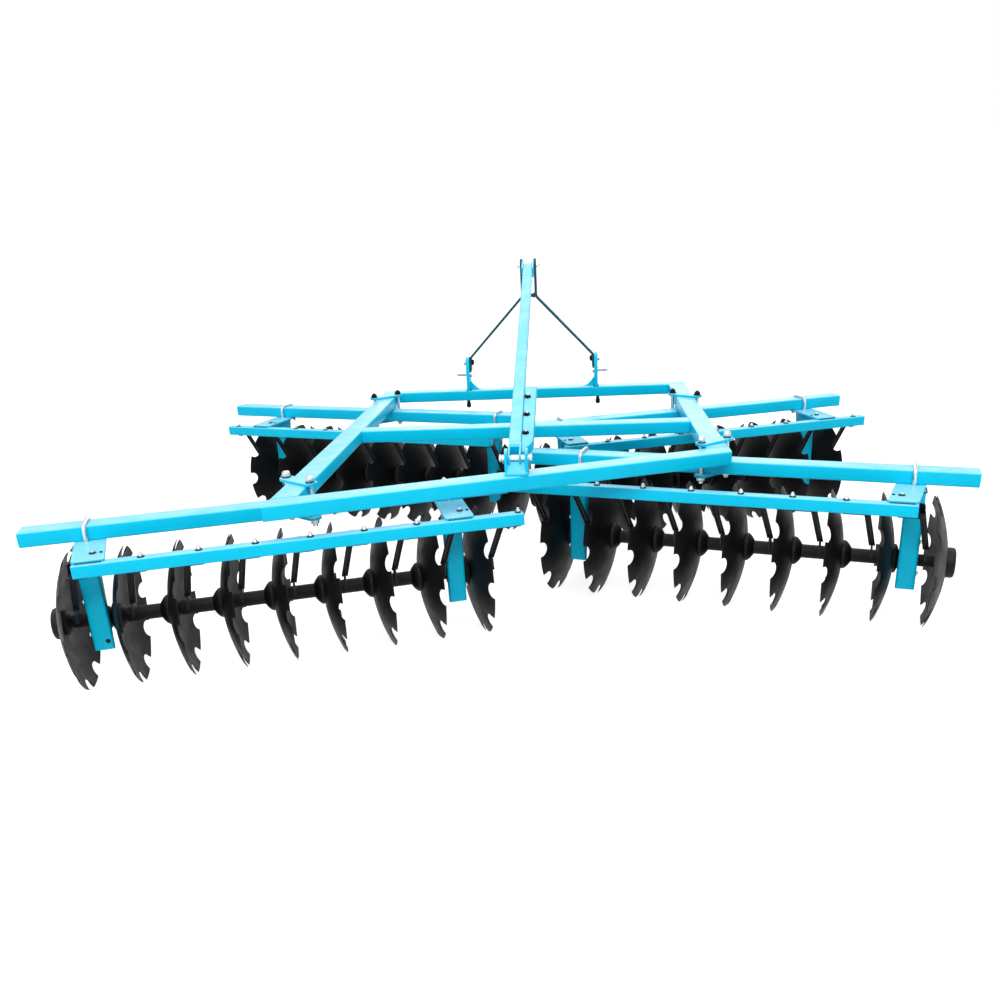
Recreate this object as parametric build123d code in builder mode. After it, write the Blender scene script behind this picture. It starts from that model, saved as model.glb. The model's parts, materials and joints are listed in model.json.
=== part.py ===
from build123d import *
import os
from collections import namedtuple
from math import atan2, cos, degrees, hypot, radians, sin

os.makedirs("parts", exist_ok=True)

# Disc harrow of the X type for a tractor's three-point hitch, in millimetres.
# X points right, Y forward to the tractor and Z up. The discs' lowest lobes stand at z = 0.

# Driving dimensions
disc_diameter = 560
disc_pitch = 205
discs_per_gang = 9
gang_angle = 17.6
frame_width = 1834
frame_top = 745
tube_width = 100
tube_height = 60
y_origin = 900.2

# Heights of the stack under the frame
pad_thickness = 10
plate_thickness = 10
scraper_tube = 50
frame_bottom = frame_top - tube_height
beam_top = frame_bottom - pad_thickness
beam_bottom = beam_top - tube_height
scraper_top = beam_bottom - plate_thickness
scraper_bottom = scraper_top - scraper_tube
axle_z = disc_diameter / 2

# Places along Y of the cross tubes' rear faces, from the rear left gang beam's crossing
rear_tube_left_y = -334 - y_origin
rear_tube_right_y = 315 - y_origin
middle_tube_y = 944 - y_origin
front_tube_y = 2011 - y_origin
side_tube_x = frame_width / 2 - tube_width / 2

# Gangs: side is -1 left, 1 right; row is 1 rear, -1 front; crossing is where the beam passes under
# the side tube; the reaches are those of the gang beam and scraper beam, outward and inward of it
Gang = namedtuple("Gang", "name side row crossing beam_out beam_in scraper_out scraper_in")
gangs = [
    Gang("rear_left", -1, 1, 0, 1064, 859, 836, 859),
    Gang("rear_right", 1, 1, 484, 1064, 859, 836, 859),
    Gang("front_left", -1, -1, 1867, 1062, 870, 935, 790),
    Gang("front_right", 1, -1, 1607, 946, 870, 935, 790),
]

# Across the gang beam: how far behind its middle the other members lie
scraper_back = 291
axle_back = 20
leg_back = 116

# Disc: a ten-sided dish whose seams run through the lobes, with a flat seat at its middle
dish_depth = 60
disc_thickness = 6
seat_radius = 75
notches = 10
lobe_half_angle = 11
notch_floor_radius = 238
notch_floor_half = 15

# Gang axle: spools with flared ends between the discs, and two journals in the bearings
shaft_radius = 26
flare_radius = 62
flare_length = 40
short_flare = 14
dish_flare_radius = 48
dish_flare_length = 34
spool_sides = 8
cap_radius = 64
cap_length = 35
end_washer_thickness = 12
end_nut_radius = 26
end_nut_height = 24
first_hub = {1: 981, -1: -870}
bearing_places = (150, 1582)
bearing_spools = (0, 7)
bearing_length = 58
running_clearance = 0.05
housing_radius = 56

# Hanger
leg_width = 75
leg_plate = 8
leg_bottom = 180
leg_top_depth = 80
leg_bottom_depth = 14
hanger_width = 116
hanger_front = 80
outer_plate_shift = {1: -15, -1: 0}
outer_plate_skew = {1: 0.128, -1: 0}
outer_bolt_shift = {1: -10, -1: 0}
u_bolt_diameter = 18
u_bolt_play = 2
u_bolt_tail = 30
u_bend = 14

# Scraper: the bar under the scraper beam, from its bolt to the arm, and the arm down to the blade.
# The leads are how far inside the disc's rim the bolt, the arm's top and its foot stand.
bolt_lead = {1: 120, -1: 45}
arm_lead = {1: 74, -1: 45}
arm_foot_lead = {1: 30, -1: 16}
arm_width = 25
arm_thickness = 8
arm_top_drop = 6
arm_foot_back = 140
arm_foot_z = 372
bar_inset = 20
blade_height = 50
blade_length = 90
blade_slope = 70

# Gang clamp
clamp_bolt_radius = 10
clamp_bolt_play = 2
clamp_nut_radius = 18
clamp_nut_height = 18
clamp_head_height = 26
clamp_bolt_tail = 10
clamp_plate = 12
clamp_width = 60
clamp_overhang = 22

# Hitch
hitch_plate_x = 386
hitch_plate_thickness = 20
hitch_plate_top = 942
hitch_plate_shoulder = 860
hitch_top_half = 32
lower_pin_radius = 14
lower_pin_end = 458
lower_shank_radius = 12
lower_nut_radius = 22
lower_nut_height = 12
lower_pin_z = 840
top_pin_radius = 12.5
mast_height = 610
top_pin_z = lower_pin_z + mast_height
top_pin_y = front_tube_y + tube_width / 2
top_pin_overhang = 24
brace_foot_z = 863
brace_bolt_z = 908
brace_knee_z = 936
brace_bend_z = 1282
bend_drop = 8
brace_x = 46
brace_width = 60
brace_thickness = 12
brace_bolt_radius = 10
brace_nut_radius = 18
brace_nut_height = 16
mast_top = top_pin_z + 36
gusset_reach = 66
gusset_height = 56
gusset_thickness = 12
stud_x = 396
stud_bottom = 636

# Stay, its lower bar and its foot bracket
stay_size = 52
stay_end_gap = 44
cheek_length = 150
cheek_height = 60
cheek_corner = 18
cheek_overlap = 2
stay_foot_x = 12
stay_foot_y = 47 - y_origin
stay_foot_z = 811
pin_radius = 12.5
bush_radius = 22
lower_bar_start = 46
lower_bar_length = 560
lower_bar_width = 30
lower_bar_height = 44
lower_bar_bolts = (90, 250, 410)
stay_bolt_radius = 12
stay_bolt_height = 10
ear_left = -28
ear_right = 66
ear_thickness = 12
ear_depth = 64
ear_top = 848
bracket_depth = 84
foot_pin_overhang = 14


def save(builder, name):
    """Name the piece and write it."""
    builder.part.label = name
    export_step(builder.part, "parts/" + name + ".step")


def gang_plane(gang):
    """The gang's own frame on the right: X along the beam outward, Y forward across it, Z up."""
    turn = radians(gang_angle)
    along = (cos(turn), -gang.row * sin(turn), 0)
    return Plane(origin=(side_tube_x, gang.crossing - y_origin, 0), x_dir=along, z_dir=(0, 0, 1))


def across(gang, u):
    """The upright plane across the gang's beam at u, its X forward and its Y up."""
    frame = gang_plane(gang)
    return Plane(origin=frame.from_local_coords(Vector(u, 0, 0)), x_dir=frame.y_dir, z_dir=frame.x_dir)


def level(gang, z):
    """The gang's frame raised to z."""
    return gang_plane(gang).offset(z)


def hub_place(gang, back):
    """The distance along the beam of a place that lies back from the capped end's hub."""
    return first_hub[gang.row] - gang.row * back


def to_side(gang):
    """Mirror a left gang's pieces over to the left."""
    if gang.side < 0:
        mirror(about=Plane.YZ, mode=Mode.REPLACE)


# Main frame: the cross tubes span the full width and the side tubes butt against them
skew = degrees(atan2(rear_tube_right_y - rear_tube_left_y, frame_width))
frame_middle_z = frame_top - tube_height / 2
left_face = Plane.YZ.offset(-frame_width / 2)
right_face = Plane.YZ.offset(frame_width / 2)

with BuildPart() as frame_front_tube:
    with BuildSketch(left_face):
        with Locations((front_tube_y + tube_width / 2, frame_middle_z)):
            Rectangle(tube_width, tube_height)
    extrude(amount=frame_width)
save(frame_front_tube, "frame_front_tube")

with BuildPart() as frame_middle_tube:
    with BuildSketch(Plane.YZ.offset(tube_width - frame_width / 2)):
        with Locations((middle_tube_y + tube_width / 2, frame_middle_z)):
            Rectangle(tube_width, tube_height)
    extrude(amount=frame_width - 2 * tube_width)
save(frame_middle_tube, "frame_middle_tube")

# The rear tube runs askew: its section is drawn across its own axis and its ends are cut along Y
rear_axis = Plane(
    origin=(0, (rear_tube_left_y + rear_tube_right_y) / 2, frame_middle_z),
    x_dir=(-sin(radians(skew)), cos(radians(skew)), 0),
    z_dir=(cos(radians(skew)), sin(radians(skew)), 0),
)
with BuildPart() as frame_rear_tube:
    with BuildSketch(rear_axis):
        with Locations((tube_width / 2, 0)):
            Rectangle(tube_width, tube_height)
    extrude(amount=frame_width, both=True)
    split(bisect_by=left_face, keep=Keep.TOP)
    split(bisect_by=right_face, keep=Keep.BOTTOM)
save(frame_rear_tube, "frame_rear_tube")

rear_tube_front = Plane(
    origin=rear_axis.from_local_coords(Vector(tube_width, 0, 0)),
    x_dir=(0, 0, 1),
    z_dir=rear_axis.x_dir,
)
for side, side_name in ((-1, "left"), (1, "right")):
    with BuildPart() as side_tube:
        with BuildSketch(Plane.XZ.offset(-front_tube_y)):
            with Locations((side * side_tube_x, frame_middle_z)):
                Rectangle(tube_width, tube_height)
        extrude(amount=front_tube_y - rear_tube_left_y)
        split(bisect_by=rear_tube_front, keep=Keep.TOP)
    save(side_tube, "frame_" + side_name + "_side_tube")

# One disc on the X axis: hub seat at x = 0, dished towards -X, cut to ten lobes
notch_pitch = 360 / notches
lobe_outline = []
for lobe in range(notches):
    for turn, radius in (
        (-notch_floor_half, notch_floor_radius),
        (-lobe_half_angle, disc_diameter / 2),
        (0, disc_diameter / 2),
        (lobe_half_angle, disc_diameter / 2),
        (notch_floor_half, notch_floor_radius),
    ):
        angle = radians(lobe * notch_pitch + turn - 90)
        lobe_outline.append((radius * cos(angle), radius * sin(angle)))



def ring(place, radius, sides):
    """The corners of a many-sided ring about the X axis, one of them straight below it."""
    turns = [radians(360 * number / sides - 90) for number in range(sides)]
    return [(place, radius * cos(turn), radius * sin(turn)) for turn in turns]


# The dish is the room between two blunt pyramids, drawn a little past the rim and cut by the outline
rim_radius = disc_diameter / 2 / cos(radians(notch_pitch / 2))
drawn_depth = dish_depth + 10
drawn_radius = seat_radius + (rim_radius - seat_radius) * drawn_depth / dish_depth
with BuildPart() as disc:
    for back, mode in ((0, Mode.ADD), (disc_thickness, Mode.SUBTRACT)):
        seat_ring = ring(-back, seat_radius, notches)
        ConvexPolyhedron(seat_ring + ring(-drawn_depth - back, drawn_radius, notches), mode=mode)
    with BuildSketch(Plane.YZ):
        Polygon(*lobe_outline, align=None)
    extrude(amount=-drawn_depth, mode=Mode.INTERSECT)

# Spools: the flare on the dished side of one disc, the shaft, and the flare on the next disc's back
spool_length = disc_pitch - disc_thickness


def flared_spool(back_flare, round_shaft):
    """A spool from x = 0 back to the next disc, its shaft round where it is a journal."""
    shaft_start = -dish_flare_length
    shaft_end = back_flare - spool_length
    front_rings = ring(0, dish_flare_radius, spool_sides) + ring(shaft_start, shaft_radius, spool_sides)
    back_rings = ring(shaft_end, shaft_radius, spool_sides) + ring(-spool_length, flare_radius, spool_sides)
    with BuildPart() as spool:
        ConvexPolyhedron(front_rings)
        ConvexPolyhedron(back_rings)
        with BuildSketch(Plane.YZ.offset(shaft_start)):
            if round_shaft:
                Circle(shaft_radius)
            else:
                RegularPolygon(shaft_radius, spool_sides, rotation=-90)
        extrude(amount=shaft_end - shaft_start)
    return spool.part


plain_spool = flared_spool(flare_length, False)
journal_spool = flared_spool(short_flare, True)

with BuildPart() as end_cap:
    with BuildSketch(Plane.YZ):
        RegularPolygon(cap_radius, 2 * spool_sides)
    extrude(amount=cap_length)

with BuildPart() as end_nut:
    with BuildSketch(Plane.YZ):
        RegularPolygon(dish_flare_radius, spool_sides)
    extrude(amount=-end_washer_thickness)
    with BuildSketch(Plane.YZ.offset(-end_washer_thickness)):
        RegularPolygon(end_nut_radius, 6)
    extrude(amount=-end_nut_height)

# Bearing housing on the X axis: round body with a foot against the leg behind it, bored through
foot_back = leg_back - leg_plate - axle_back
half_turn = 180 / spool_sides
with BuildPart() as housing:
    with BuildSketch(Plane.YZ.offset(-bearing_length / 2)):
        RegularPolygon(housing_radius, spool_sides, rotation=half_turn)
        with Locations((-foot_back / 2, 0)):
            Rectangle(foot_back, 2 * housing_radius * cos(radians(half_turn)))
        Circle(shaft_radius + running_clearance, mode=Mode.SUBTRACT)
    extrude(amount=bearing_length)

# U-bolt over the gang beam: its two rods, the crown and the bends, seen along the beam
u_inner = tube_width / 2
u_outer = tube_width / 2 + u_bolt_diameter
u_crown = beam_top + u_bolt_diameter
u_tail = scraper_top - u_bolt_tail
u_bolt_outline = (
    (-u_inner, u_tail),
    (-u_inner, beam_top),
    (u_inner, beam_top),
    (u_inner, u_tail),
    (u_outer, u_tail),
    (u_outer, u_crown - u_bend),
    (u_outer - u_bend, u_crown),
    (u_bend - u_outer, u_crown),
    (-u_outer, u_crown - u_bend),
    (-u_outer, u_tail),
)

all_housings = []
all_u_bolts = []
all_plates = []
all_bolts = []

for gang in gangs:
    frame = gang_plane(gang)
    facing = 0 if gang.row > 0 else 180
    hubs = [hub_place(gang, number * disc_pitch) for number in range(discs_per_gang)]
    legs = [hub_place(gang, back) for back in bearing_places]

    with BuildPart() as gang_beam:
        with BuildSketch(across(gang, -gang.beam_in)):
            with Locations((0, (beam_top + beam_bottom) / 2)):
                Rectangle(tube_width, tube_height)
        extrude(amount=gang.beam_in + gang.beam_out)
        to_side(gang)
    save(gang_beam, "gang_beam_" + gang.name)

    with BuildPart() as scraper_beam:
        with BuildSketch(across(gang, -gang.scraper_in)):
            with Locations((-scraper_back, (scraper_top + scraper_bottom) / 2)):
                Rectangle(scraper_tube, scraper_tube)
        extrude(amount=gang.scraper_in + gang.scraper_out)
        to_side(gang)
    save(scraper_beam, "scraper_beam_" + gang.name)

    with BuildPart(frame) as disc_blades:
        for u in hubs:
            with Locations(Location((u, -axle_back, axle_z), (0, 0, facing))):
                add(disc.part)
        to_side(gang)
    save(disc_blades, "disc_blades_" + gang.name)

    with BuildPart(frame) as gang_axle:
        with Locations(Location((hubs[0], -axle_back, axle_z), (0, 0, facing))):
            add(end_cap.part)
        for number, u in enumerate(hubs[:-1]):
            front_face = u - gang.row * disc_thickness
            with Locations(Location((front_face, -axle_back, axle_z), (0, 0, facing))):
                add(journal_spool if number in bearing_spools else plain_spool)
        last_face = hubs[-1] - gang.row * disc_thickness
        with Locations(Location((last_face, -axle_back, axle_z), (0, 0, facing))):
            add(end_nut.part)
        to_side(gang)
    save(gang_axle, "gang_axle_" + gang.name)

    # Hangers: plate under the gang beam back to the scraper beam, with the channel leg below it
    with BuildPart() as hangers:
        for u in legs:
            plate_middle = u + (outer_plate_shift[gang.row] if u > 0 else 0)
            plate_skew = outer_plate_skew[gang.row] if u > 0 else 0
            bolt_middle = u + (outer_bolt_shift[gang.row] if u > 0 else 0)
            plate_back = -scraper_back - scraper_tube / 2
            plate_corners = [
                (plate_middle + plate_skew * off + end * hanger_width / 2, off)
                for off, end in ((hanger_front, -1), (hanger_front, 1), (plate_back, 1), (plate_back, -1))
            ]
            with BuildSketch(level(gang, scraper_top)):
                Polygon(*plate_corners, align=None)
                with Locations(*[(bolt_middle, end * (tube_width + u_bolt_diameter) / 2) for end in (-1, 1)]):
                    Rectangle(u_bolt_diameter + 2 * u_bolt_play, u_bolt_diameter + u_bolt_play, mode=Mode.SUBTRACT)
            extrude(amount=plate_thickness)
            with BuildSketch(across(gang, u - leg_width / 2)):
                with Locations((leg_plate / 2 - leg_back, (scraper_top + leg_bottom) / 2)):
                    Rectangle(leg_plate, scraper_top - leg_bottom)
            extrude(amount=leg_width)
            for edge in (u - leg_width / 2, u + leg_width / 2 - leg_plate):
                with BuildSketch(across(gang, edge)):
                    Polygon(
                        (-leg_back, leg_bottom),
                        (-leg_back + leg_bottom_depth, leg_bottom),
                        (-leg_back + leg_top_depth, scraper_top),
                        (-leg_back, scraper_top),
                        align=None,
                    )
                extrude(amount=leg_plate)
        to_side(gang)
    save(hangers, "hangers_" + gang.name)

    # Scrapers: bar under the scraper beam, arm slanting down and forward from the beam's front face,
    # blade at the dish's mouth
    arm_back = scraper_back - scraper_tube / 2 - arm_thickness
    arm_start = scraper_top - arm_top_drop
    with BuildPart() as scraper_blades:
        for hub in hubs:
            rim_place = hub - gang.row * dish_depth
            bolt = rim_place - gang.row * bolt_lead[gang.row]
            arm_top = rim_place - gang.row * arm_lead[gang.row]
            arm_foot = rim_place - gang.row * arm_foot_lead[gang.row]
            slope = Vector(arm_foot - arm_top, arm_back - arm_foot_back, arm_foot_z - arm_start)
            under = (arm_start - scraper_bottom + arm_thickness / 2) / (arm_start - arm_foot_z)
            near, far = sorted((bolt, arm_top + slope.X * under))
            bar_back = scraper_back + scraper_tube / 2 - bar_inset
            bar_front = arm_back - slope.Y * under
            with BuildSketch(level(gang, scraper_bottom)):
                with Locations(((near + far) / 2, -(bar_back + bar_front) / 2)):
                    Rectangle(far - near + arm_width, bar_back - bar_front)
            extrude(amount=-arm_thickness)
            with BuildSketch(level(gang, arm_start)):
                with Locations((arm_top, -arm_back)):
                    Rectangle(arm_width, 2 * arm_thickness)
            world_slope = frame.x_dir * slope.X + frame.y_dir * slope.Y + Vector(0, 0, slope.Z)
            extrude(amount=world_slope.length, dir=world_slope)
            with BuildSketch(across(gang, arm_foot - arm_thickness / 2)):
                with Locations((-arm_foot_back, arm_foot_z - blade_height / 2 + arm_thickness)):
                    Trapezoid(blade_length, blade_height, blade_slope)
            extrude(amount=arm_thickness)
        to_side(gang)
    save(scraper_blades, "scraper_blades_" + gang.name)

    # Bearing housings in the legs
    with BuildPart(frame) as gang_housings:
        with Locations(*[(u, -axle_back, axle_z) for u in legs]):
            add(housing.part)
        to_side(gang)
    all_housings.append(gang_housings.part)

    # U-bolts over the gang beam, with nuts under the plate
    with BuildPart() as gang_u_bolts:
        for u in legs:
            bolt_middle = u + (outer_bolt_shift[gang.row] if u > 0 else 0)
            with BuildSketch(across(gang, bolt_middle - u_bolt_diameter / 2)):
                Polygon(*u_bolt_outline, align=None)
            extrude(amount=u_bolt_diameter)
        to_side(gang)
    all_u_bolts.append(gang_u_bolts.part)

    # Clamp: plates above the side tube and under the gang beam, a pad between them, two bolts.
    # The bolts stand in the two blunt corners of the crossing, clear of both tubes.
    reach = tube_width / 2 + clamp_bolt_radius + clamp_bolt_play
    turn = radians(gang_angle)
    bolt_y = (reach - reach * sin(turn)) / cos(turn)
    centre = Vector(side_tube_x, gang.crossing - y_origin, 0)
    bolt_spots = [centre + Vector(end * reach, gang.row * end * bolt_y, 0) for end in (-1, 1)]
    lean = degrees(atan2(gang.row * bolt_y, reach))
    plate_length = 2 * hypot(reach, bolt_y) + 2 * clamp_overhang
    bolt_hole = 2 * clamp_bolt_radius + clamp_bolt_play
    with BuildPart() as clamp_plates:
        for bottom, thickness in ((frame_top, clamp_plate), (beam_bottom - clamp_plate, clamp_plate)):
            with BuildSketch(Plane((centre.X, centre.Y, bottom))):
                Rectangle(plate_length, clamp_width, rotation=lean)
                for spot in bolt_spots:
                    with Locations((spot.X - centre.X, spot.Y - centre.Y)):
                        Rectangle(bolt_hole, bolt_hole, rotation=lean, mode=Mode.SUBTRACT)
            extrude(amount=thickness)
        with BuildSketch(Plane((centre.X, centre.Y, beam_top))):
            Rectangle(tube_width, tube_width)
        extrude(amount=pad_thickness)
        to_side(gang)
    all_plates.append(clamp_plates.part)

    with BuildPart() as clamp_bolts:
        for spot in bolt_spots:
            low = beam_bottom - clamp_plate
            high = frame_top + clamp_plate
            tail = low - clamp_nut_height - clamp_bolt_tail
            with BuildSketch(Plane((spot.X, spot.Y, tail))):
                RegularPolygon(clamp_bolt_radius, 6)
            extrude(amount=high - tail)
            for bottom, height in ((low - clamp_nut_height, clamp_nut_height), (high, clamp_head_height)):
                with BuildSketch(Plane((spot.X, spot.Y, bottom))):
                    RegularPolygon(clamp_nut_radius, 6)
                extrude(amount=height)
        to_side(gang)
    all_bolts.append(clamp_bolts.part)

for name, pieces in (
    ("bearing_housings", all_housings),
    ("hanger_u_bolts", all_u_bolts),
    ("gang_clamp_plates", all_plates),
    ("gang_clamp_bolts", all_bolts),
):
    with BuildPart() as collected:
        for piece in pieces:
            add(piece)
    save(collected, name)

# Hitch plates: upright on the front tube, rounded over the brace bolt, each with an inner gusset
hitch_inner = hitch_plate_x - hitch_plate_thickness / 2
with BuildPart() as hitch_plates:
    with BuildSketch(Plane.YZ.offset(hitch_inner)):
        with BuildLine():
            Polyline(
                (top_pin_y - tube_width / 2, frame_top),
                (top_pin_y + tube_width / 2, frame_top),
                (top_pin_y + tube_width / 2, hitch_plate_shoulder),
                (top_pin_y + hitch_top_half, hitch_plate_top),
                (top_pin_y - hitch_top_half, hitch_plate_top),
                (top_pin_y - tube_width / 2, hitch_plate_shoulder),
                close=True,
            )
        make_face()
        with Locations((top_pin_y, lower_pin_z)):
            Circle(lower_shank_radius + running_clearance, mode=Mode.SUBTRACT)
    extrude(amount=hitch_plate_thickness)
    with BuildSketch(Plane.XZ.offset(-top_pin_y - gusset_thickness / 2)):
        with BuildLine():
            Polyline(
                (hitch_inner, frame_top),
                (hitch_inner - gusset_reach, frame_top),
                (hitch_inner, frame_top + gusset_height),
                close=True,
            )
        make_face()
    extrude(amount=gusset_thickness)
    with BuildSketch(Plane.YZ.offset(hitch_inner)):
        with Locations((top_pin_y, brace_bolt_z)):
            RegularPolygon(brace_bolt_radius + 1, 8)
    extrude(amount=hitch_plate_thickness, mode=Mode.SUBTRACT)
    mirror(about=Plane.YZ)
save(hitch_plates, "hitch_plates")

# Lower hitch pins: a shank through the plate with a nut inside, and the thicker end outside it
with BuildPart() as lower_link_pins:
    with BuildSketch(Plane.YZ.offset(hitch_inner)):
        with Locations((top_pin_y, lower_pin_z)):
            Circle(lower_shank_radius)
    extrude(amount=hitch_plate_thickness)
    with BuildSketch(Plane.YZ.offset(hitch_inner + hitch_plate_thickness)):
        with Locations((top_pin_y, lower_pin_z)):
            Circle(lower_pin_radius)
    extrude(amount=lower_pin_end - hitch_inner - hitch_plate_thickness)
    with BuildSketch(Plane.YZ.offset(hitch_inner)):
        with Locations((top_pin_y, lower_pin_z)):
            RegularPolygon(lower_nut_radius, 6)
    extrude(amount=-lower_nut_height)
    mirror(about=Plane.YZ)
save(lower_link_pins, "lower_link_pins")

# Braces: bolted inside each hitch plate, bent, and upright beside the mast's top
brace_inner_x = brace_x - brace_thickness
brace_outline = (
    (hitch_inner, brace_foot_z),
    (hitch_inner, brace_knee_z),
    (brace_x, brace_bend_z),
    (brace_x, mast_top),
    (brace_inner_x, mast_top),
    (brace_inner_x, brace_bend_z - bend_drop),
    (hitch_inner - brace_thickness, brace_knee_z - bend_drop),
    (hitch_inner - brace_thickness, brace_foot_z),
)
with BuildPart() as hitch_braces:
    with BuildSketch(Plane.XZ.offset(-top_pin_y - brace_width / 2)):
        Polygon(*brace_outline, align=None)
    extrude(amount=brace_width)
    with BuildSketch(Plane.YZ.offset(brace_inner_x)):
        with Locations((top_pin_y, top_pin_z)):
            Circle(top_pin_radius + running_clearance)
    extrude(amount=brace_thickness, mode=Mode.SUBTRACT)
    with BuildSketch(Plane.YZ.offset(hitch_inner - brace_thickness)):
        with Locations((top_pin_y, brace_bolt_z)):
            RegularPolygon(brace_bolt_radius + 1, 8)
    extrude(amount=brace_thickness, mode=Mode.SUBTRACT)
    mirror(about=Plane.YZ)
save(hitch_braces, "hitch_braces")

# Bolts through plate and brace, and the studs with nuts under the front tube below each plate
bolt_grip = brace_thickness + hitch_plate_thickness
with BuildPart() as hitch_bolts:
    for start, length, radius, sides in (
        (hitch_inner - brace_thickness, bolt_grip, brace_bolt_radius, 8),
        (hitch_inner - brace_thickness, -brace_nut_height, brace_nut_radius, 6),
        (hitch_inner + hitch_plate_thickness, brace_nut_height, brace_nut_radius, 6),
    ):
        with BuildSketch(Plane.YZ.offset(start)):
            with Locations((top_pin_y, brace_bolt_z)):
                RegularPolygon(radius, sides)
        extrude(amount=length)
    stud_length = frame_bottom - stud_bottom
    for length, radius, sides in ((brace_nut_height, brace_nut_radius, 6), (stud_length, brace_bolt_radius, 8)):
        with BuildSketch(Plane((stud_x, top_pin_y, frame_bottom))):
            RegularPolygon(radius, sides)
        extrude(amount=-length)
    mirror(about=Plane.YZ)
save(hitch_bolts, "hitch_bolts")

# Top link pin through the braces and the stay's cheeks
with BuildPart() as top_link_pin:
    with BuildSketch(Plane.YZ.offset(-brace_x - top_pin_overhang)):
        with Locations((top_pin_y, top_pin_z)):
            Circle(top_pin_radius)
    extrude(amount=2 * (brace_x + top_pin_overhang))
save(top_link_pin, "top_link_pin")

# Stay: a tube from behind the top pin back and down to the foot pin. A bush welded across its foot
# takes the foot pin, and a cheek on each side of its top reaches the top pin, with room between the
# cheeks for the end of the tractor's top link.
stay_top = Vector(0, top_pin_y, top_pin_z)
stay_foot = Vector(stay_foot_x, stay_foot_y, stay_foot_z)
stay_run = stay_top - stay_foot
stay_axis = stay_run.normalized()
stay_side = Vector(stay_axis.Y, -stay_axis.X, 0).normalized()
stay_plane = Plane(origin=stay_foot, x_dir=stay_side, z_dir=stay_axis)
stay_pitch = degrees(atan2(stay_run.Z, stay_run.Y))
cheek_end = cheek_height / 2
cheek_outline = (
    (cheek_end - cheek_length, -cheek_end),
    (cheek_end - cheek_corner, -cheek_end),
    (cheek_end, cheek_corner - cheek_end),
    (cheek_end, cheek_end - cheek_corner),
    (cheek_end - cheek_corner, cheek_end),
    (cheek_end - cheek_length, cheek_end),
)
with BuildPart() as stay_tube:
    with BuildSketch(stay_plane):
        Rectangle(stay_size, stay_size)
    extrude(amount=stay_run.length - stay_end_gap)
    with BuildSketch(Plane.YZ.offset(ear_left + ear_thickness)):
        with Locations((stay_foot.Y, stay_foot.Z)):
            RegularPolygon(bush_radius, 12)
    extrude(amount=ear_right - ear_left - 2 * ear_thickness)
    cheek_inner = stay_size / 2 - cheek_overlap
    for inner, outer in ((-cheek_inner, brace_thickness - brace_x), (cheek_inner, brace_x - brace_thickness)):
        with BuildSketch(Plane.YZ.offset(inner)):
            with Locations(Location((stay_top.Y, stay_top.Z), stay_pitch)):
                Polygon(*cheek_outline, align=None)
        extrude(amount=outer - inner)
    for place in (stay_foot, stay_top):
        with BuildSketch(Plane.YZ):
            with Locations((place.Y, place.Z)):
                Circle(pin_radius + running_clearance)
        extrude(amount=ear_right, both=True, mode=Mode.SUBTRACT)
save(stay_tube, "stay_tube")

with BuildPart() as stay_lower_bar:
    with BuildSketch(stay_plane.offset(lower_bar_start)):
        with Locations((stay_size / 2 + lower_bar_width / 2, 0)):
            Rectangle(lower_bar_width, lower_bar_height)
    extrude(amount=lower_bar_length)
save(stay_lower_bar, "stay_lower_bar")

with BuildPart() as stay_bolts:
    for along in lower_bar_bolts:
        bolt_face = Plane(
            origin=stay_plane.from_local_coords(Vector(0, lower_bar_height / 2, lower_bar_start + along)),
            x_dir=stay_plane.x_dir,
            z_dir=stay_plane.y_dir,
        )
        with BuildSketch(bolt_face):
            with Locations((stay_size / 2 + lower_bar_width / 2, 0)):
                RegularPolygon(stay_bolt_radius, 6)
        extrude(amount=stay_bolt_height)
save(stay_bolts, "stay_bolts")

# Foot bracket: a base on the rear tube and two ears with the foot pin across them
with BuildPart() as stay_bracket:
    with BuildSketch(Plane((0, stay_foot.Y, frame_top))):
        with Locations(((ear_left + ear_right) / 2, 0)):
            Rectangle(ear_right - ear_left, bracket_depth)
    extrude(amount=ear_thickness)
    for edge in (ear_left, ear_right - ear_thickness):
        with BuildSketch(Plane.YZ.offset(edge)):
            with Locations((stay_foot.Y, (frame_top + ear_top) / 2)):
                Rectangle(ear_depth, ear_top - frame_top)
            with Locations((stay_foot.Y, stay_foot.Z)):
                Circle(pin_radius + running_clearance, mode=Mode.SUBTRACT)
        extrude(amount=ear_thickness)
save(stay_bracket, "stay_bracket")

with BuildPart() as stay_foot_pin:
    with BuildSketch(Plane.YZ.offset(ear_left - foot_pin_overhang)):
        with Locations((stay_foot.Y, stay_foot.Z)):
            Circle(pin_radius)
    extrude(amount=ear_right - ear_left + 2 * foot_pin_overhang)
save(stay_foot_pin, "stay_foot_pin")
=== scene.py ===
import bmesh
import bpy
import json
from math import atan2, cos, hypot, pi, radians, sin
import numpy as np
from mathutils import Matrix, Vector


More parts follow.
